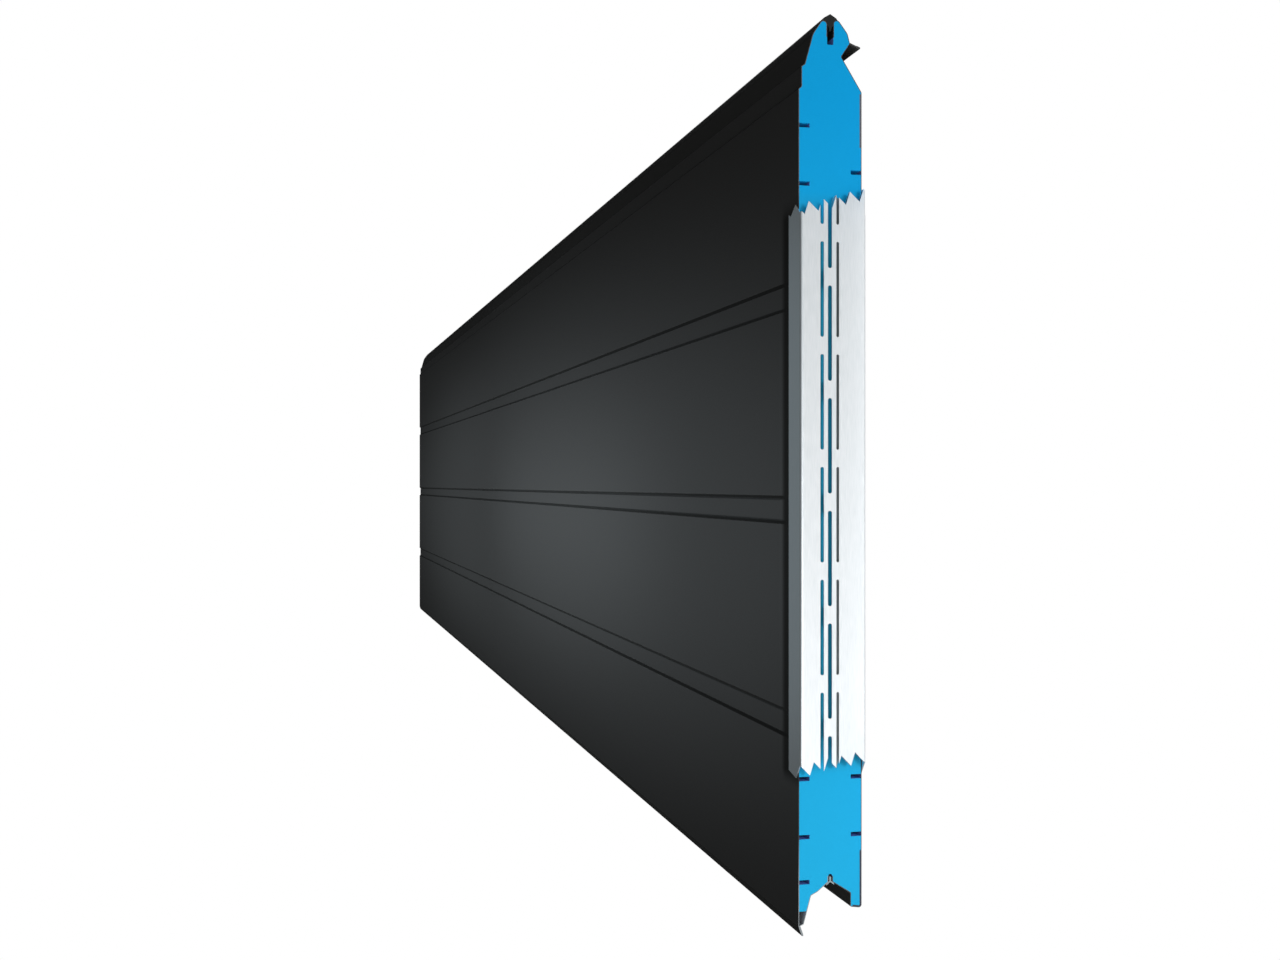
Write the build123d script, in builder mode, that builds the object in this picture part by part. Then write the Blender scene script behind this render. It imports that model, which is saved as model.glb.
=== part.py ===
from build123d import *
import os

# Insulated sectional garage door panel: two roll-formed steel skins on a foam core, with a tongue along
# the top edge, a groove along the bottom edge and a slotted steel cap on one end, torn off at both ends
# as on a cut-away sample. All sizes are in millimetres. The panel lies on its inner face: X runs along
# it and points at the capped end, Y runs up its height from the groove to the tongue, and Z points out
# through the outer face.

# Whole panel
length = 2560.0
cover_height = 580.0  # from one joint line to the next
thickness = 45.0  # over both skins
skin = 0.5
bend_radius = 1.0  # of the outer face's sharpest bends

# Recessed bands of the outer face; the top one is finished by the panel above
band_pitch = 145.0
band_width = 19.0
band_depth = 2.0
band_chamfer = 1.6
band_drop = 8.8  # centre of the top band below the joint line
band_margin = 40.0  # the lowest band stays this far above the bottom joint line

# Tongue: heights from the joint line, depths from the nearer face
shoulder_drop = 3.2
shoulder_step = 1.6
tongue_foot_depth = 4.4
tongue_bend_depth = 10.1
tongue_bend_height = 19.0
tongue_bend_radius = 12.0
peak_height = 33.8  # where the roof and the slot wall would meet, before rounding
peak_radius = 2.5
heel_height = 20.8
heel_depth = 10.1
heel_radius = 6.0
root_depth = 8.35  # the tongue's inner side where the finger guard starts
root_height = 14.1
notch_height = 4.9
notch_depth = 14.5
notch_radius = 1.2
inner_shoulder_drop = 17.9
inner_shoulder_radius = 3.0

# Slot for the seal, in the tongue
seal_slot_width = 4.5
seal_slot_height = 12.4
seal_slot_radius = 0.7

# Groove along the bottom edge, which takes the tongue of the panel below
side_clearance = 2.9  # from the tongue's outer side to the groove
pivot_clearance = 0.25  # from the tongue's inner side to the inner leg
groove_shoulder_height = 24.8
groove_shoulder_radius = 1.5
groove_crease_depth = 13.4
groove_crease_height = 27.0
groove_crease_radius = 5.0
groove_peak_height = 33.0
break_slot_width = 2.9
break_slot_height = 38.4
inner_leg_height = 14.2
inner_leg_rise = 1.2  # the leg's foot climbs towards the groove
inner_leg_radius = 2.0
outer_leg_height = 4.6
outer_leg_toe_height = 6.1
outer_leg_foam_height = 14.7

# Folded edges of the skins
drip_tip_depth = 2.75
drip_low = 1.7  # tip of the drip lip below the bottom joint line
drip_hem = 1.3
fin_tip_depth = 1.7
fin_tip_height = 11.75
fin_bead = 1.5
fin_bead_length = 1.8

# Thermal break: the skins stop short of the ends of both slots
skin_lap = 5.0

# Steel strips behind the inner skin, which take the hinge screws
strip_sheet = 0.95
top_strip_drop = 19.2
top_strip_width = 36.0
bottom_strip_height = 52.9

# Pockets in the core at the capped end
pocket_width = 2.9
pocket_reach = 7.3
pocket_length = 28.0
pocket_pitch = 38.7
low_pocket_height = 64.0
leg_pocket_height = 34.0
high_outer_pocket_drop = 42.4
high_inner_pocket_drop = 72.0

# Seal pressed into the tongue
seal_rise = 33.0
seal_shoulder_height = 30.4
seal_shoulder_reach = 4.3
seal_edge_height = 27.6
seal_edge_reach = 6.4
seal_stem_width = 2.4
seal_stem_height = 24.5
seal_tip_height = 20.1
seal_radius = 0.5

# Plastic strip pressed into the groove, between the skins
break_stem_width = 1.25
break_stem_height = 36.5
break_wing_reach = 2.7
break_wing_drop = 2.0  # from the corners of the slot to the wings' ends
break_wing_sheet = 0.8

# End cap
cap_sheet = 0.75
cap_gap = 5.25  # from the cut end of the core to the web
cap_bend_radius = 1.0
cap_flange_reach = 16.6  # along the faces, from the cut end
cap_return_depth = 23.6  # from here to the inner flange a second sheet stands behind the web
cap_return_gap = 1.5  # between the two sheets

# Slots of the cap's web, in three rows
slot_length = 63.3
slot_pitch = 74.8
slot_row_pitch = 5.5
slot_row_widths = [2.5, 2.85, 1.95]
slot_first_depth = 14.4
slot_side_height = 129.0
slot_middle_height = 99.9
slot_count = 6

# Torn edges of the cap: a saw of steep and slanted sides, which climbs towards the inner face
tear_pitch = 9.75
tear_steep = 2.85
tear_tooth = 8.8
low_tear_depth = 5.7
low_tear_height = 106.1
low_tear_climb = 1.7
high_tear_depth = 2.1
high_tear_height = 477.3
high_tear_climb = 2.5
tear_teeth = 6

# Torn edges of the cap's flanges: distances past the cut end of the core, heights above the web's tear
low_flange_tear = [(6.75, 6.2), (4.0, 6.2), (-2.8, -3.1), (-17.4, 0.0)]
high_flange_tear = [(6.75, 1.3), (4.0, 1.5), (-4.0, 7.9), (-13.1, 1.2), (-17.4, 3.6)]

# Places worked out from the sizes
outer_z = cap_sheet + thickness
mid_height = (cover_height + seal_rise - drip_low) / 2
mid_depth = thickness / 2
end_x = (length - cap_gap - cap_sheet) / 2
web_x = end_x + cap_gap
end_plane = Plane.YZ.offset(end_x)
seal_wall = seal_slot_width / 2
break_wall = break_slot_width / 2
break_radius = 0.99 * break_wall  # the slot's end is all but half round
tongue_foot_drop = shoulder_drop - shoulder_step
tongue_lean = (tongue_bend_depth - tongue_foot_depth) / (tongue_bend_height + tongue_foot_drop)
inner_leg_width = root_depth - pivot_clearance
band_count = int((cover_height - band_drop - band_margin) / band_pitch)


def at(depth, height):
    """A point of the cross-section: depth under the outer face, height above the bottom joint line."""
    return (height - mid_height, outer_z - depth)


def rounded_outline(corners):
    """A closed outline through corners given as (depth, height, radius)."""
    points = [at(depth, height) for depth, height, radius in corners]
    FilletPolyline(points, radius=[radius for depth, height, radius in corners], close=True)


def groove_side_depth(height):
    """Depth of the groove's outer side: the tongue's side carried down, less the clearance."""
    return tongue_foot_depth + tongue_lean * (height + tongue_foot_drop) - side_clearance


def band_corners():
    """Corners of the outer face's bands from the lowest up, as (depth, height, radius)."""
    corners = []
    for k in range(band_count, 0, -1):
        centre = cover_height - band_drop - k * band_pitch
        corners += [
            (0, centre - band_width / 2, bend_radius),
            (band_depth, centre - band_width / 2 + band_chamfer, bend_radius),
            (band_depth, centre + band_width / 2 - band_chamfer, bend_radius),
            (0, centre + band_width / 2, bend_radius),
        ]
    return corners


def section(inset=0.0):
    """Everything inside the surface of the panel's cross-section, or inside a layer of it inset deep."""
    joint = cover_height
    inner = thickness
    seal_left = mid_depth - seal_wall
    seal_right = mid_depth + seal_wall
    break_left = mid_depth - break_wall
    break_right = mid_depth + break_wall
    shoulder = joint - shoulder_drop
    band_low = joint - band_drop - band_width / 2
    socket_depth = groove_side_depth(groove_shoulder_height)
    corners = [
        (0, outer_leg_height, 0),
        *band_corners(),
        (0, band_low, bend_radius),
        (band_depth, band_low + band_chamfer, bend_radius),
        (band_depth, shoulder, bend_radius),
        (tongue_foot_depth, shoulder + shoulder_step, bend_radius),
        (tongue_bend_depth, joint + tongue_bend_height, tongue_bend_radius),
        (seal_left, joint + peak_height, peak_radius),
        (seal_left, joint + seal_slot_height, seal_slot_radius),
        (seal_right, joint + seal_slot_height, seal_slot_radius),
        (seal_right, joint + peak_height, peak_radius),
        (inner - heel_depth, joint + heel_height, heel_radius),
        (inner - root_depth, joint + root_height, 0),
        (inner - notch_depth, joint + notch_height, notch_radius),
        (inner, joint - inner_shoulder_drop, inner_shoulder_radius),
        (inner, inner_leg_height, inner_leg_radius),
        (inner - inner_leg_width, inner_leg_height + inner_leg_rise, inner_leg_radius / 2),
        (inner - inner_leg_width, groove_shoulder_height, groove_shoulder_radius),
        (break_right, groove_peak_height, 0),
        (break_right, break_slot_height, break_radius),
        (break_left, break_slot_height, break_radius),
        (break_left, groove_peak_height, 0),
        (groove_crease_depth, groove_crease_height, groove_crease_radius),
        (socket_depth, groove_shoulder_height, groove_shoulder_radius),
        (groove_side_depth(outer_leg_toe_height), outer_leg_toe_height, 0),
    ]
    with BuildSketch() as outline:
        with BuildLine():
            rounded_outline(corners)
        make_face()
        if inset:
            offset(amount=-inset, kind=Kind.INTERSECTION)
    return outline.sketch


def window(shallow, deep, low, high):
    """A rectangle of the cross-section, between two depths and two heights."""
    with BuildSketch() as area:
        with Locations(at((shallow + deep) / 2, (low + high) / 2)):
            Rectangle(high - low, deep - shallow)
    return area.sketch


def slot_ends():
    """The stretches of both slots where the skins stop and the core is bare."""
    around = 2 * skin
    seal_side = seal_wall + around
    seal_end = cover_height + seal_slot_height
    break_side = break_wall + around
    break_low = break_slot_height - break_wall
    break_high = break_slot_height + around
    with BuildSketch() as area:
        add(window(mid_depth - seal_side, mid_depth + seal_side, seal_end - around, seal_end + skin_lap))
        add(window(mid_depth - break_side, mid_depth + break_side, break_low, break_high))
    return area.sketch


over_skins = section()
under_skins = section(skin)
under_strips = section(skin + strip_sheet)
bare_ends = slot_ends()
total_low = -2 * drip_low
total_high = cover_height + 2 * seal_rise
outer_half = window(-thickness, mid_depth, total_low, total_high)
inner_half = window(mid_depth, 2 * thickness, total_low, total_high)

# Outer skin, with the drip lip folded at its foot
drip_radius = drip_hem / 2
drip_top = at(drip_radius, outer_leg_height + drip_radius / 2)
drip_tip = at(drip_tip_depth, drip_radius - drip_low)
with BuildPart() as outer_skin:
    with BuildSketch(end_plane):
        add(over_skins)
        add(under_skins, mode=Mode.SUBTRACT)
        add(bare_ends, mode=Mode.SUBTRACT)
        add(outer_half, mode=Mode.INTERSECT)
        with BuildLine():
            Line(drip_top, drip_tip)
        trace(line_width=drip_hem)
        with Locations(drip_tip):
            Circle(drip_radius)
    extrude(amount=-length)
outer_skin.part.label = "outer_skin"

# Inner skin, with the finger guard folded out of the root of the tongue
fin_root = at(thickness - root_depth - skin / 2, cover_height + root_height + skin / 2)
fin_tip = at(thickness - fin_tip_depth, cover_height + fin_tip_height)
with BuildPart() as inner_skin:
    with BuildSketch(end_plane):
        add(over_skins)
        add(under_skins, mode=Mode.SUBTRACT)
        add(bare_ends, mode=Mode.SUBTRACT)
        add(inner_half, mode=Mode.INTERSECT)
        with BuildLine():
            Line(fin_root, fin_tip)
        trace(line_width=2 * skin)
        with BuildLine():
            bead = PolarLine(fin_tip, fin_bead_length, direction=Vector(*fin_root) - Vector(*fin_tip))
        trace(line_width=fin_bead)
        with Locations(bead @ 0, bead @ 1):
            Circle(fin_bead / 2)
    extrude(amount=-length)
inner_skin.part.label = "inner_skin"

# Strips behind the inner skin, one along the shoulder and one turned under the inner leg
top_strip_high = cover_height - top_strip_drop
top_strip_window = window(mid_depth, thickness, top_strip_high - top_strip_width, top_strip_high)
bottom_strip_foot = thickness - inner_leg_width + skin + strip_sheet
bottom_strip_window = window(bottom_strip_foot, thickness, 0, bottom_strip_height)
with BuildPart() as top_reinforcement:
    with BuildSketch(end_plane):
        add(under_skins)
        add(under_strips, mode=Mode.SUBTRACT)
        add(top_strip_window, mode=Mode.INTERSECT)
    extrude(amount=-length)
top_reinforcement.part.label = "top_reinforcement"

with BuildPart() as bottom_reinforcement:
    with BuildSketch(end_plane):
        add(under_skins)
        add(under_strips, mode=Mode.SUBTRACT)
        add(bottom_strip_window, mode=Mode.INTERSECT)
    extrude(amount=-length)
bottom_reinforcement.part.label = "bottom_reinforcement"

# Foam core: fills the skins but for the foot of the outer leg, with blind pockets at the capped end
low_pocket_heights = [low_pocket_height, low_pocket_height + pocket_pitch]
high_outer_pocket_height = cover_height - high_outer_pocket_drop
outer_pocket_heights = [
    leg_pocket_height,
    *low_pocket_heights,
    high_outer_pocket_height - pocket_pitch,
    high_outer_pocket_height,
]
inner_pocket_heights = [*low_pocket_heights, cover_height - high_inner_pocket_drop]
outer_pocket_depth = skin + pocket_reach / 2
inner_pocket_depth = thickness - outer_pocket_depth
with BuildPart() as foam_core:
    with BuildSketch(end_plane):
        with BuildSketch(mode=Mode.PRIVATE) as filled_ends:
            add(over_skins)
            add(bare_ends, mode=Mode.INTERSECT)
        add(under_skins)
        add(filled_ends.sketch)
        add(window(0, mid_depth, 0, outer_leg_foam_height), mode=Mode.SUBTRACT)
        with BuildSketch(mode=Mode.PRIVATE) as strips:
            add(under_skins)
            add(under_strips, mode=Mode.SUBTRACT)
        with BuildSketch(mode=Mode.PRIVATE) as top_strip:
            add(strips.sketch)
            add(top_strip_window, mode=Mode.INTERSECT)
        with BuildSketch(mode=Mode.PRIVATE) as bottom_strip:
            add(strips.sketch)
            add(bottom_strip_window, mode=Mode.INTERSECT)
        add(top_strip.sketch, mode=Mode.SUBTRACT)
        add(bottom_strip.sketch, mode=Mode.SUBTRACT)
    extrude(amount=-length)
    with BuildSketch(end_plane):
        with Locations([at(outer_pocket_depth, h) for h in outer_pocket_heights]):
            Rectangle(pocket_width, pocket_reach)
        with Locations([at(inner_pocket_depth, h) for h in inner_pocket_heights]):
            Rectangle(pocket_width, pocket_reach)
    extrude(amount=-pocket_length, mode=Mode.SUBTRACT)
foam_core.part.label = "foam_core"

# Seal pressed into the tongue's slot: a peaked head over both rounded tops and a tapered stem
joint = cover_height
seal_half_stem = seal_stem_width / 2
seal_corners = [
    (mid_depth - seal_edge_reach, joint + seal_edge_height, 0),
    (mid_depth - seal_shoulder_reach, joint + seal_shoulder_height, seal_radius),
    (mid_depth, joint + seal_rise, seal_radius),
    (mid_depth + seal_shoulder_reach, joint + seal_shoulder_height, seal_radius),
    (mid_depth + seal_edge_reach, joint + seal_edge_height, 0),
    (mid_depth + seal_half_stem, joint + seal_stem_height, 0),
    (mid_depth, joint + seal_tip_height, seal_radius),
    (mid_depth - seal_half_stem, joint + seal_stem_height, 0),
]
with BuildPart() as top_seal:
    with BuildSketch(end_plane):
        with BuildLine():
            rounded_outline(seal_corners)
        make_face()
        add(over_skins, mode=Mode.SUBTRACT)
    extrude(amount=-length)
top_seal.part.label = "top_seal"

# Plastic strip that parts the skins in the groove: a stem in the slot and two wings under the groove's roof
half_stem = break_stem_width / 2
wing_left = mid_depth - break_wing_reach
wing_right = mid_depth + break_wing_reach
wing_low = groove_peak_height - break_wing_drop
wing_high = wing_low + 2 * break_wing_sheet
with BuildPart() as thermal_break_strip:
    with BuildSketch(end_plane):
        with BuildLine():
            Polyline(
                at(wing_left, wing_low),
                at(mid_depth, groove_peak_height),
                at(wing_right, wing_low),
                at(wing_right, wing_high),
                at(mid_depth, groove_peak_height + break_wing_sheet),
                at(wing_left, wing_high),
                close=True,
            )
        make_face()
        add(over_skins, mode=Mode.SUBTRACT)
        add(window(mid_depth - half_stem, mid_depth + half_stem, groove_peak_height, break_stem_height))
    extrude(amount=-length)
thermal_break_strip.part.label = "thermal_break_strip"


def torn_line(low_depth, low_height, climb):
    """Points of a torn edge across the thickness: steep up to a tip, then slanted down to the next low."""
    points = []
    for k in range(-1, tear_teeth):
        low = (low_depth + k * tear_pitch, low_height + k * climb)
        points += [low, (low[0] + tear_steep, low[1] + tear_tooth)]
    return points


# End cap: a channel over the cut end. Behind the inner half of its web a second sheet, folded back from the
# inner flange, ends in a lip that rests on the core at mid-thickness.
# It is made longer than the tears at both ends, and torn back to them.
cap_flange_x = end_x - cap_flange_reach
cap_low = low_tear_height - 2 * tear_tooth
cap_high = high_tear_height + 3 * tear_tooth
return_x = web_x - cap_return_gap
return_z = outer_z - cap_return_depth
web_plane = Plane.YZ.offset(web_x + cap_sheet)
low_tear = torn_line(low_tear_depth, low_tear_height, low_tear_climb)
high_tear = torn_line(high_tear_depth, high_tear_height, high_tear_climb)
slot_first_heights = [slot_side_height, slot_middle_height, slot_side_height]
with BuildPart() as end_cap:
    with BuildSketch(Plane.XZ.offset(mid_height - cap_low)):
        with BuildLine():
            FilletPolyline(
                (cap_flange_x, outer_z + cap_sheet),
                (web_x + cap_sheet, outer_z + cap_sheet),
                (web_x + cap_sheet, 0),
                (cap_flange_x, 0),
                radius=cap_bend_radius + cap_sheet,
            )
            Polyline((cap_flange_x, 0), (cap_flange_x, cap_sheet))
            FilletPolyline(
                (cap_flange_x, cap_sheet),
                (web_x, cap_sheet),
                (web_x, outer_z),
                (cap_flange_x, outer_z),
                radius=cap_bend_radius,
            )
            Polyline((cap_flange_x, outer_z), (cap_flange_x, outer_z + cap_sheet))
        make_face()
        with BuildLine():
            Polyline(
                (return_x, cap_sheet),
                (return_x, return_z),
                (end_x, return_z),
                (end_x, return_z - cap_sheet),
                (return_x - cap_sheet, return_z - cap_sheet),
                (return_x - cap_sheet, cap_sheet),
                close=True,
            )
        make_face()
    extrude(amount=cap_low - cap_high)

    # Slots along the web, the middle row half a pitch from the other two
    for row in range(len(slot_row_widths)):
        depth = slot_first_depth + row * slot_row_pitch
        heights = [slot_first_heights[row] + k * slot_pitch for k in range(slot_count)]
        with BuildSketch(web_plane):
            with Locations([at(depth, height) for height in heights]):
                SlotOverall(slot_length, slot_row_widths[row])
        extrude(amount=-cap_sheet, mode=Mode.SUBTRACT)

    # Torn edges of the web
    with BuildSketch(web_plane):
        for tear, end in [(low_tear, cap_low), (high_tear, cap_high)]:
            points = [at(depth, height) for depth, height in tear]
            with BuildLine():
                Polyline(points + [at(tear[-1][0], end), at(tear[0][0], end)], close=True)
            make_face()
        add(window(0, thickness, cap_low, cap_high), mode=Mode.INTERSECT)
    extrude(amount=-cap_gap - cap_sheet, mode=Mode.SUBTRACT)

    # Torn edges of both flanges
    for z in [cap_sheet, outer_z + cap_sheet]:
        with BuildSketch(Plane.XY.offset(z)):
            for tear, web_height, end in [
                (low_flange_tear, low_tear_height, cap_low),
                (high_flange_tear, high_tear_height, cap_high),
            ]:
                points = [(end_x + past, web_height + above - mid_height) for past, above in tear]
                end_y = end - mid_height
                with BuildLine():
                    Polyline(points + [(points[-1][0], end_y), (points[0][0], end_y)], close=True)
                make_face()
        extrude(amount=-cap_sheet, mode=Mode.SUBTRACT)
end_cap.part.label = "end_cap"

os.makedirs("parts", exist_ok=True)
export_step(outer_skin.part, "parts/outer_skin.step")
export_step(inner_skin.part, "parts/inner_skin.step")
export_step(foam_core.part, "parts/foam_core.step")
export_step(top_seal.part, "parts/top_seal.step")
export_step(thermal_break_strip.part, "parts/thermal_break_strip.step")
export_step(top_reinforcement.part, "parts/top_reinforcement.step")
export_step(bottom_reinforcement.part, "parts/bottom_reinforcement.step")
export_step(end_cap.part, "parts/end_cap.step")
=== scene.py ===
import math

import bpy
from mathutils import Matrix, Vector


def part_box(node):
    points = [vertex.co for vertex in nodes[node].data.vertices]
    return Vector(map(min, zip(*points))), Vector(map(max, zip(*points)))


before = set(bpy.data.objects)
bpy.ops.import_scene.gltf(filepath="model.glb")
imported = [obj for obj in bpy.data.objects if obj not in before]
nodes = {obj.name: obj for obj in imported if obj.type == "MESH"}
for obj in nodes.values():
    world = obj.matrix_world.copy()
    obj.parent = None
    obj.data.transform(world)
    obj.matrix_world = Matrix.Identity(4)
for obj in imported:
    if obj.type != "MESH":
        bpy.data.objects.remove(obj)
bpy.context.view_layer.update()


# Places in metres: X runs along the panel to its capped end, Y up its height to the tongue, and
# Z out through its outer face

cap_low, cap_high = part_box("end_cap")
cap_sheet = 0.00075  # the flange stands this far proud of the outer face
face_z = cap_high.z - cap_sheet
capped_end = (1.28, 0.0, 0.02)
cut_end = (-1.28, 0.0, 0.02)
camera_place = (2.168, -0.0067, 0.3827)

# Recessed bands of the outer face, and the strips of painted shade on their floors at the walls'
# feet
band_depth = 0.002
band_floor = 0.0158
band_pitch = 0.145
middle_band = -0.0245
foot_width = 0.0008
foot_fade = 0.0003

# Painted shadow beside the cap's flange: it is full at full_gap from the flange, gone at far_gap,
# and reaches band_shift further on the floors of the bands, as the photo shows it
full_gap = 0.008
far_gap = 0.021
band_shift = 0.0052

# Heights over which the shade beside the flange and behind the web starts and ends, at the tears
flange_tears = (-0.212, -0.201), (0.173, 0.187)
web_tears = (-0.200, -0.182), (0.155, 0.188)

# Heights over which the skins' cut ends go from painted lighter beside the groove to painted darker
# above it, as light falls on them
lips_end = (-0.27, -0.24)

white = (1, 1, 1)
cool = (0.84, 0.94, 1.0)
shadow = (0.001, 0.001, 0.0005)


# Node helpers


class Nodes:
    """Short ways to add nodes to a shader tree."""

    def __init__(self, tree):
        self.tree = tree

    def feed(self, socket, value):
        """Gives a socket a number, a colour or another node's output."""
        if isinstance(value, bpy.types.NodeSocket):
            self.tree.links.new(value, socket)
        else:
            socket.default_value = value

    def node(self, kind, inputs=None, **settings):
        """Adds a node, with its inputs given by name or number."""
        made = self.tree.nodes.new(f"ShaderNode{kind}")
        for name, value in settings.items():
            setattr(made, name, value)
        for name, value in (inputs or {}).items():
            self.feed(made.inputs[name], value)
        return made

    def coordinates(self, kind):
        return self.node("TexCoord").outputs[kind]

    def parts_of(self, vector):
        """The X, Y and Z of a vector."""
        return self.node("SeparateXYZ", {"Vector": vector}).outputs

    def ramp(self, value, start, stop, low=0.0, high=1.0, smooth=False):
        """Goes from low to high while value goes from start to stop."""
        inputs = {"Value": value, "From Min": start, "From Max": stop, "To Min": low, "To Max": high}
        kind = "SMOOTHSTEP" if smooth else "LINEAR"
        return self.node("MapRange", inputs, interpolation_type=kind).outputs["Result"]

    def blend(self, share, first, second):
        """A colour between two, by share."""
        mix = self.node("MixRGB", {"Fac": share})
        for name, colour in (("Color1", first), ("Color2", second)):
            linked = isinstance(colour, bpy.types.NodeSocket)
            self.feed(mix.inputs[name], colour if linked else (*colour, 1))
        return mix.outputs["Color"]

    def compute(self, operation, *values):
        return self.node("Math", dict(enumerate(values)), operation=operation).outputs["Value"]

    def size_of(self, value):
        return self.compute("ABSOLUTE", value)

    def total(self, one, other):
        return self.compute("ADD", one, other)

    def product(self, one, other):
        return self.compute("MULTIPLY", one, other)

    def larger(self, one, other):
        return self.compute("MAXIMUM", one, other)

    def plateau(self, value, rise, fall):
        """Climbs to one over the range rise, and goes back to nothing over the range fall."""
        return self.product(self.ramp(value, *rise), self.ramp(value, *fall, 1.0, 0.0))

    def between(self, value, low, high, soft=0.0001):
        """One between low and high, and nothing outside."""
        return self.plateau(value, (low - soft, low), (high, high + soft))

    def pale(self, kind, output, lit):
        """Shows plain white to the camera, and lit to all other light."""
        plain = self.node(kind, {"Color": (*white, 1), "Strength": 1.0}).outputs[0]
        seen = self.node("LightPath").outputs["Is Camera Ray"]
        shown = self.node("MixShader", {"Fac": seen, 1: lit, 2: plain}).outputs["Shader"]
        self.feed(self.tree.nodes[output].inputs["Surface"], shown)


class Look(Nodes):
    """A material with one Principled shader."""

    def __init__(self, name, roughness=0.5, specular=0.5, metallic=0.0, colour=(0.5, 0.5, 0.5)):
        self.material = bpy.data.materials.new(name)
        self.material.use_nodes = True
        super().__init__(self.material.node_tree)
        self.shader = self.tree.nodes["Principled BSDF"]
        self.set("Roughness", roughness)
        self.set("Specular IOR Level", specular)
        self.set("Metallic", metallic)
        self.set("Base Color", (*colour, 1))

    def set(self, name, value):
        self.feed(self.shader.inputs[name], value)

    def noise(self, scale, detail=3.0, stretch=(1, 1, 1)):
        """Noise in the object's own coordinates, which stay put in every view."""
        coords = self.coordinates("Object")
        mapping = self.node("Mapping", {"Vector": coords, "Scale": stretch})
        inputs = {"Vector": mapping.outputs["Vector"], "Scale": scale, "Detail": detail}
        return self.node("TexNoise", inputs).outputs["Fac"]

    def relief(self, height, strength, distance):
        inputs = {"Height": height, "Strength": strength, "Distance": distance}
        self.set("Normal", self.node("Bump", inputs).outputs["Normal"])

    def facing(self):
        """The parts of the surface's own normal along X, Y and Z."""
        return self.parts_of(self.node("NewGeometry").outputs["True Normal"])

    def place(self):
        """The parts of the place along X, Y and Z."""
        return self.parts_of(self.coordinates("Object"))


# Materials


def flange_shadow(look, place):
    """One in the painted shadow beside the cap's flange, and nothing outside it."""
    shift = look.ramp(place["Z"], face_z - band_depth, face_z, band_shift, 0.0)
    reach = look.total(place["X"], shift)
    near_flange = look.ramp(reach, cap_low.x - far_gap, cap_low.x - full_gap, smooth=True)
    return look.product(near_flange, look.plateau(place["Y"], *flange_tears))


def paint(
    name, roughness, specular, face, side, painted_steep_tone, edge, lip, back, back_y, back_z, feet=()
):
    """Satin coil coating in the colour face, near black in the painted shadow of the flange.

    Slopes take the colour side and steep walls a second colour, both set by the slope: painted
    shade on the outer skin's slopes and steep walls, painted light on the inner skin's steep walls.
    The cut ends show steel, painted lighter in the colour lip beside the groove and darker in the
    colour edge above it, as light falls on them. The sheet's back has its own coat, on those faces
    that look up within the ranges back_y and back_z; its tone is partly painted light and shade.
    The ranges of Y given as feet are strips of painted shade, as dark as the shadow.
    """
    look = Look(name, specular=specular)
    grain = look.noise(scale=900)
    look.relief(grain, strength=0.25, distance=0.00002)
    facing, place = look.facing(), look.place()
    # Painted shade on slopes and steep walls, by the normal; the inner skin's steep walls are
    # painted lighter
    slope = look.size_of(facing["Y"])
    sloped = look.ramp(slope, 0.1, 0.35)
    steep = look.ramp(slope, 0.4, 0.6)
    unlit = flange_shadow(look, place)

    satin = look.ramp(grain, 0.3, 0.7, roughness - 0.03, roughness + 0.03)
    dulled = look.ramp(sloped, 0, 1, satin, 1.0)
    look.set("Roughness", look.ramp(unlit, 0, 1, dulled, 1.0))

    coat_and_shade = look.blend(steep, look.blend(sloped, face, side), painted_steep_tone)
    # Strips of painted shade at the feet of the bands' walls
    for low, high in feet:
        unlit = look.larger(unlit, look.between(place["Y"], low, high, soft=foot_fade))
    coat_and_shade = look.blend(unlit, coat_and_shade, shadow)
    # Back coat of the sheet, its tone partly painted light and shade in the hollows
    inside = look.product(look.between(place["Y"], *back_y), look.between(place["Z"], *back_z))
    looks_up = look.ramp(facing["Z"], 0.3, 0.5)
    coat_and_shade = look.blend(look.product(inside, looks_up), coat_and_shade, back)
    # Cut ends: one steel, painted lighter beside the groove than above it, as light falls
    cut = look.ramp(look.size_of(facing["X"]), 0.8, 0.9)
    steel = look.blend(look.ramp(place["Y"], *lips_end), lip, edge)
    look.set("Base Color", look.blend(cut, coat_and_shade, steel))
    return look.material


def foot(centre, side):
    """Range of Y of the strip of painted shade on a band's floor, beside its upper (1) or lower (-1)
    wall.
    """
    outer = centre + side * (band_floor / 2 - foot_fade)
    inner = outer - side * foot_width
    return min(outer, inner), max(outer, inner)


def cut_foam():
    """Foam, painted lighter towards the groove as light falls there, with painted shade behind the
    cap's web.

    Every face that doesn't look along the panel is painted as a pocket wall: roofs bright as if lit,
    the rest deep blue as shade.
    """
    look = Look("foam", roughness=0.85, specular=0.1)
    cells = look.noise(scale=2600, detail=4.0)
    look.relief(cells, strength=0.35, distance=0.00012)
    facing, place = look.facing(), look.place()
    # Painted light: the cut face is lighter towards the groove
    upwards = look.ramp(place["Y"], -0.30, 0.25)
    fine = look.ramp(cells, 0.35, 0.65)
    low_foam = look.blend(fine, (0.010, 0.33, 0.58), (0.014, 0.37, 0.64))
    high_foam = look.blend(fine, (0.000, 0.235, 0.49), (0.001, 0.270, 0.55))
    face = look.blend(upwards, low_foam, high_foam)
    # Painted shade on the core behind the cap's web
    under_cap = look.ramp(place["X"], cap_low.x, cap_low.x + 0.001)
    shaded_behind_web = look.product(look.plateau(place["Y"], *web_tears), under_cap)
    face = look.blend(shaded_behind_web, face, (0.018, 0.25, 0.39))
    # Painted light and shade on pocket walls: roofs bright as if lit, the other walls deep blue as
    # shade
    side_or_floor = look.ramp(facing["Y"], -0.8, -0.3)
    pocket_light_and_shade = look.blend(side_or_floor, (0.006, 0.50, 1.0), (0.09, 0.16, 0.42))
    cut_face = look.ramp(look.size_of(facing["X"]), 0.4, 0.6)
    look.set("Base Color", look.blend(cut_face, pocket_light_and_shade, face))
    return look.material


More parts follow.
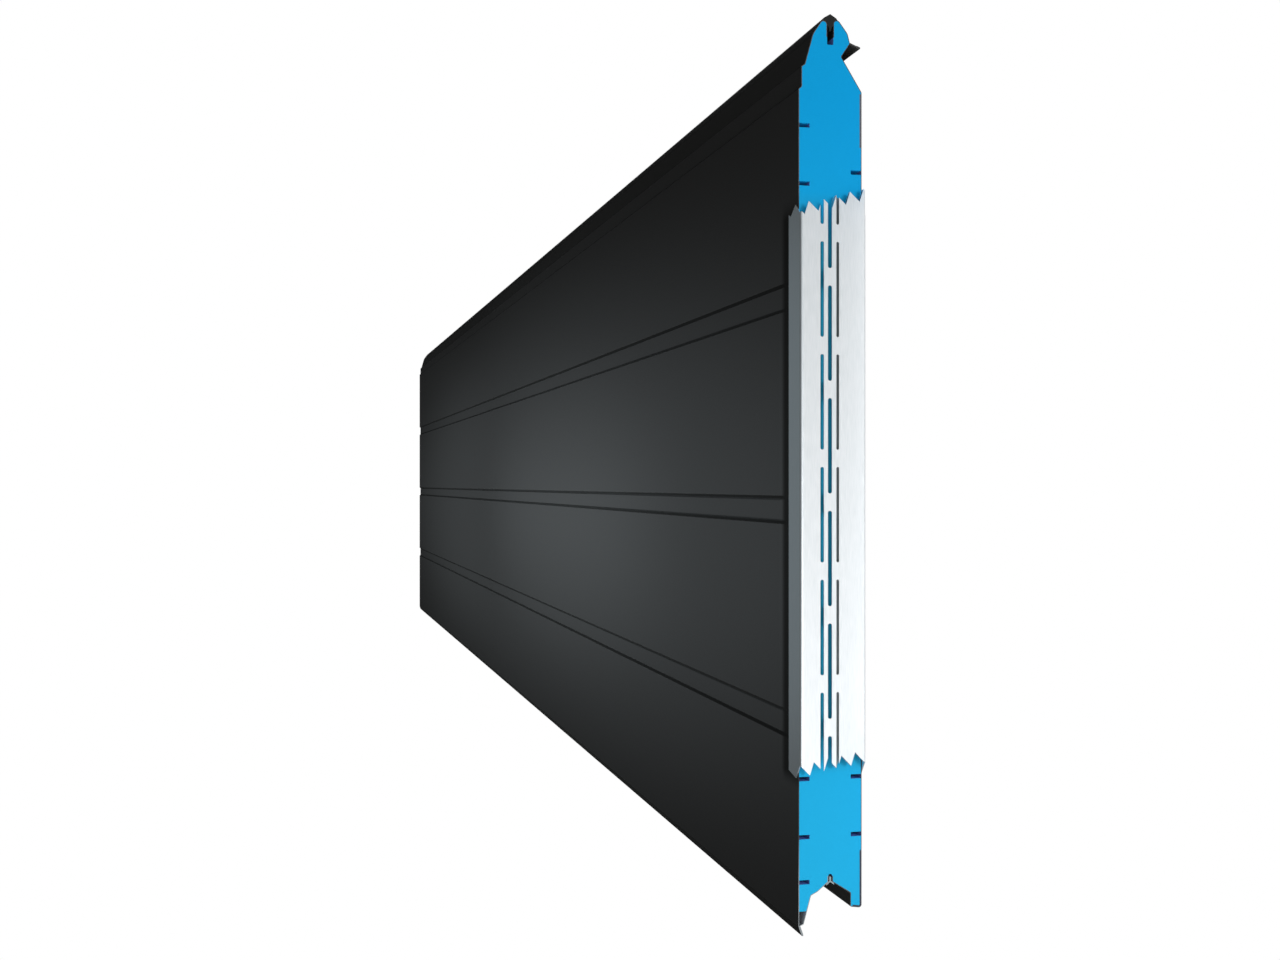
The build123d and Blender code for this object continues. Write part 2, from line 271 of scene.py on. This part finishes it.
def grained(name, colour, roughness, specular=0.5):
    """One colour with a fine grain, and a roughness that follows the grain between two values."""
    look = Look(name, specular=specular, colour=colour)
    grain = look.noise(scale=1500)
    look.relief(grain, strength=0.2, distance=0.00003)
    look.set("Roughness", look.ramp(grain, 0.3, 0.7, *roughness))
    return look.material


def brushed_zinc():
    """Zinc coated steel with fine short brush marks along the cap.

    Painted shade darkens it at the bends, and on the second sheet that shows through the slots of
    the web.
    """
    look = Look("cap_steel", metallic=1.0)
    streaks = look.noise(scale=2600, detail=2.0, stretch=(1, 0.04, 1))
    look.relief(streaks, strength=0.08, distance=0.00002)
    look.set("Roughness", look.ramp(streaks, 0.3, 0.7, 0.40, 0.48))
    zinc = look.blend(look.ramp(streaks, 0.35, 0.65), (0.81, 0.84, 0.855), (0.87, 0.89, 0.905))
    facing, place = look.facing(), look.place()
    # Painted shade at the bends
    shaded_bend = look.between(facing["Z"], 0.15, 0.8, soft=0.1)
    zinc = look.blend(shaded_bend, zinc, (0.50, 0.53, 0.55))
    # Painted shade on the second sheet behind the web
    web_back = cap_high.x - 0.001
    shaded_behind_web = look.ramp(place["X"], web_back - 0.0002, web_back + 0.0002, 1.0, 0.0)
    shaded_second_sheet = look.product(shaded_behind_web, look.ramp(facing["X"], 0.6, 0.9))
    look.set("Base Color", look.blend(shaded_second_sheet, zinc, (0.17, 0.19, 0.20)))
    return look.material


# Both walls of the middle band get painted shade at their feet, and of each other band the wall
# nearer to it
upper_band = middle_band + band_pitch
lower_band = middle_band - band_pitch
band_foot_shade = [
    foot(upper_band, -1),
    foot(middle_band, 1),
    foot(middle_band, -1),
    foot(lower_band, 1),
]
# Outer skin: painted shade on slopes and steep walls, cut ends painted lighter beside the groove,
# and a light grey back coat that is partly painted light in the drip lip's hollow
outer_paint = paint(
    "outer_paint",
    roughness=0.46,
    specular=0.28,
    face=(0.0285, 0.0280, 0.0272),
    side=(0.0060, 0.0058, 0.0045),
    painted_steep_tone=shadow,
    edge=(0.03, 0.028, 0.026),
    lip=(0.22, 0.24, 0.25),
    back=(0.35, 0.37, 0.40),
    back_y=(-0.3005, -0.288),
    back_z=(0.03, 0.0444),
    feet=band_foot_shade,
)
# Inner skin: steep walls painted lighter as painted light, cut ends painted lighter beside the
# groove, and a back coat painted navy as shade of the blue pockets
inner_paint = paint(
    "inner_paint",
    roughness=0.48,
    specular=0.3,
    face=(0.014, 0.014, 0.013),
    side=(0.014, 0.014, 0.013),
    painted_steep_tone=(0.030, 0.030, 0.028),
    edge=(0.014, 0.013, 0.012),
    lip=(0.06, 0.065, 0.07),
    back=(0.08, 0.12, 0.30),
    back_y=(-0.28, 0.25),
    back_z=(0.001, 0.0015),
)
foam = cut_foam()
rubber = grained("seal_rubber", (0.014, 0.014, 0.013), (0.72, 0.8), specular=0.1)
plastic = grained("grey_plastic", (0.23, 0.27, 0.28), (0.45, 0.55))
strip_steel = grained("strip_steel", (0.012, 0.016, 0.035), (0.4, 0.5))
cap_steel = brushed_zinc()

finishes = {
    "outer_skin": outer_paint,
    "inner_skin": inner_paint,
    "foam_core": foam,
    "top_seal": rubber,
    "thermal_break_strip": plastic,
    "top_reinforcement": strip_steel,
    "bottom_reinforcement": strip_steel,
    "end_cap": cap_steel,
}
for name, finish in finishes.items():
    mesh = nodes[name].data
    mesh.materials.clear()
    mesh.materials.append(finish)


# Floor and studio walls

scene = bpy.context.scene
scene.view_settings.view_transform = "Standard"

# A wide floor, a hair under the panel and plain white to the camera, so that no shadow shows on it
floor_half = 40.0
floor_z = -0.0005
floor_corners = [
    (x * floor_half, y * floor_half, floor_z) for x, y in [(-1, -1), (1, -1), (1, 1), (-1, 1)]
]
look = Look("floor", roughness=0.9, specular=0.0, colour=(0.8, 0.8, 0.8))
look.pale("Emission", "Material Output", look.shader.outputs["BSDF"])
floor_mesh = bpy.data.meshes.new("floor")
floor_mesh.from_pydata(floor_corners, [], [(0, 1, 2, 3)])
floor = bpy.data.objects.new("floor", floor_mesh)
floor.data.materials.append(look.material)
scene.collection.objects.link(floor)

# The walls are bright past the capped end, nearly dark past the other, and brighter on the
# groove's side than on the tongue's
world = bpy.data.worlds.new("studio")
scene.world = world
world.use_nodes = True
studio = Nodes(world.node_tree)


def towards(axis, low, high, dim, bright):
    """Brightness that climbs from dim to bright as a direction turns to an axis."""
    inputs = {0: studio.coordinates("Generated"), 1: axis}
    along = studio.node("VectorMath", inputs, operation="DOT_PRODUCT").outputs["Value"]
    return studio.ramp(along, low, high, dim, bright, smooth=True)


to_capped_end = towards((1, 0, 0), -0.35, 0.95, 0.015, 0.85)
to_groove = towards((0, -1, 0), -0.6, 0.6, 0.6, 1.4)
walls = studio.tree.nodes["Background"]
studio.feed(walls.inputs["Color"], (0.95, 0.98, 1.0, 1))
studio.feed(walls.inputs["Strength"], studio.product(to_capped_end, to_groove))
studio.pale("Background", "World Output", walls.outputs["Background"])


# Lights, each kept to the objects that it is meant for

# Place of the pools' spots, across the panel and above it
pool_y = -0.045
pool_z = 2.4


def group_of(name, members):
    group = bpy.data.collections.new(name)
    for member in members:
        group.objects.link(member)
    return group


def add_light(data, place, receivers):
    """A light at place that reaches only the receivers."""
    light = bpy.data.objects.new(data.name, data)
    light.location = place
    scene.collection.objects.link(light)
    light.light_linking.receiver_collection = group_of(f"lit_by_{light.name}", receivers)
    return light


def area_light(name, place, target, size, power, receivers, colour=white):
    """A soft light at place, turned to target."""
    data = bpy.data.lights.new(name, "AREA")
    data.shape = "RECTANGLE"
    data.size, data.size_y = size
    data.energy = power
    data.color = colour
    light = add_light(data, place, receivers)
    light.rotation_mode = "QUATERNION"
    light.rotation_quaternion = (Vector(target) - Vector(place)).to_track_quat("-Z", "Y")
    light.visible_camera = False
    return light


def pool_of_light(name, x, power, spread, stretch):
    """A spot from above that throws a long soft pool of light on the outer face."""
    data = bpy.data.lights.new(name, "SPOT")
    data.energy = power
    data.spot_size = math.radians(spread)
    data.spot_blend = 1.0
    data.shadow_soft_size = 0.1
    data.color = cool
    light = add_light(data, (x, pool_y, pool_z), [nodes["outer_skin"]])
    light.scale = (stretch, 1, 1)


def all_but(*names):
    return [node for name, node in nodes.items() if name not in names]


cap = [nodes["end_cap"]]
behind_cap = all_but("end_cap")
edge_pieces = [nodes[name] for name in ("inner_skin", "top_seal", "thermal_break_strip")]
area_light("cap_light", (3.2, -0.9, 0.5), capped_end, (1.4, 1.4), 37, cap)

# The rest of the end is lit from low down, through the floor, so that the cap's shadow falls
# towards the outer face
end_light = area_light("end_light", (3.2, 0.45, -0.7), capped_end, (0.7, 0.7), 23, behind_cap)
end_light.light_linking.blocker_collection = group_of("shades_end_light", nodes.values())
area_light("fill_light", camera_place, capped_end, (0.1, 0.1), 1.5, behind_cap)
area_light("floor_light", (1.75, -0.45, 0.9), (1.55, -0.25, 0), (1.0, 1.0), 9, [floor])

# Lights for the cut end, the groove and the tongue, which show from the other sides
far_pieces = all_but("outer_skin", "end_cap")
area_light("far_end_light", (-3.2, 0.3, 0.5), cut_end, (1.2, 1.2), 26, far_pieces)
area_light("groove_light", (0.8, -2.5, 0.5), (0.4, -0.3, 0.02), (2.0, 0.8), 60, edge_pieces)
area_light("tongue_light", (0.8, 2.5, 0.6), (0.4, 0.3, 0.02), (2.0, 0.8), 30, edge_pieces)

# The cap's outer flange and the outer face are lit from over the panel
flange = (1.27, 0.0, 0.0465)
flange_tint = (0.74, 0.92, 1.0)
area_light("flange_light", (-0.3, 0.0, 0.6), flange, (1.0, 1.0), 0.70, cap, flange_tint)
pool_of_light("pool", x=0.05, power=265, spread=16, stretch=5.4)
pool_of_light("pool_core", x=0.42, power=215, spread=7, stretch=4.6)
pool_of_light("far_pool", x=-1.1, power=60, spread=22, stretch=2.5)


# The camera stands beyond the capped end, a little over the outer face, with the panel's height
# upright in the picture

camera_data = bpy.data.cameras.new("camera")
camera_data.lens = 40.08
camera_data.sensor_width = 36.0
camera_data.shift_y = 0.0031
camera_data.clip_start = 0.01
camera = bpy.data.objects.new("camera", camera_data)
scene.collection.objects.link(camera)
tilt = math.radians(14.367)  # of the line of sight over the panel's length
right = Vector((math.sin(tilt), 0, -math.cos(tilt)))
up = Vector((0, 1, 0))
back = Vector((math.cos(tilt), 0, math.sin(tilt)))
aim = Matrix((right, up, back)).transposed().to_4x4()
camera.matrix_world = Matrix.Translation(camera_place) @ aim
scene.camera = camera
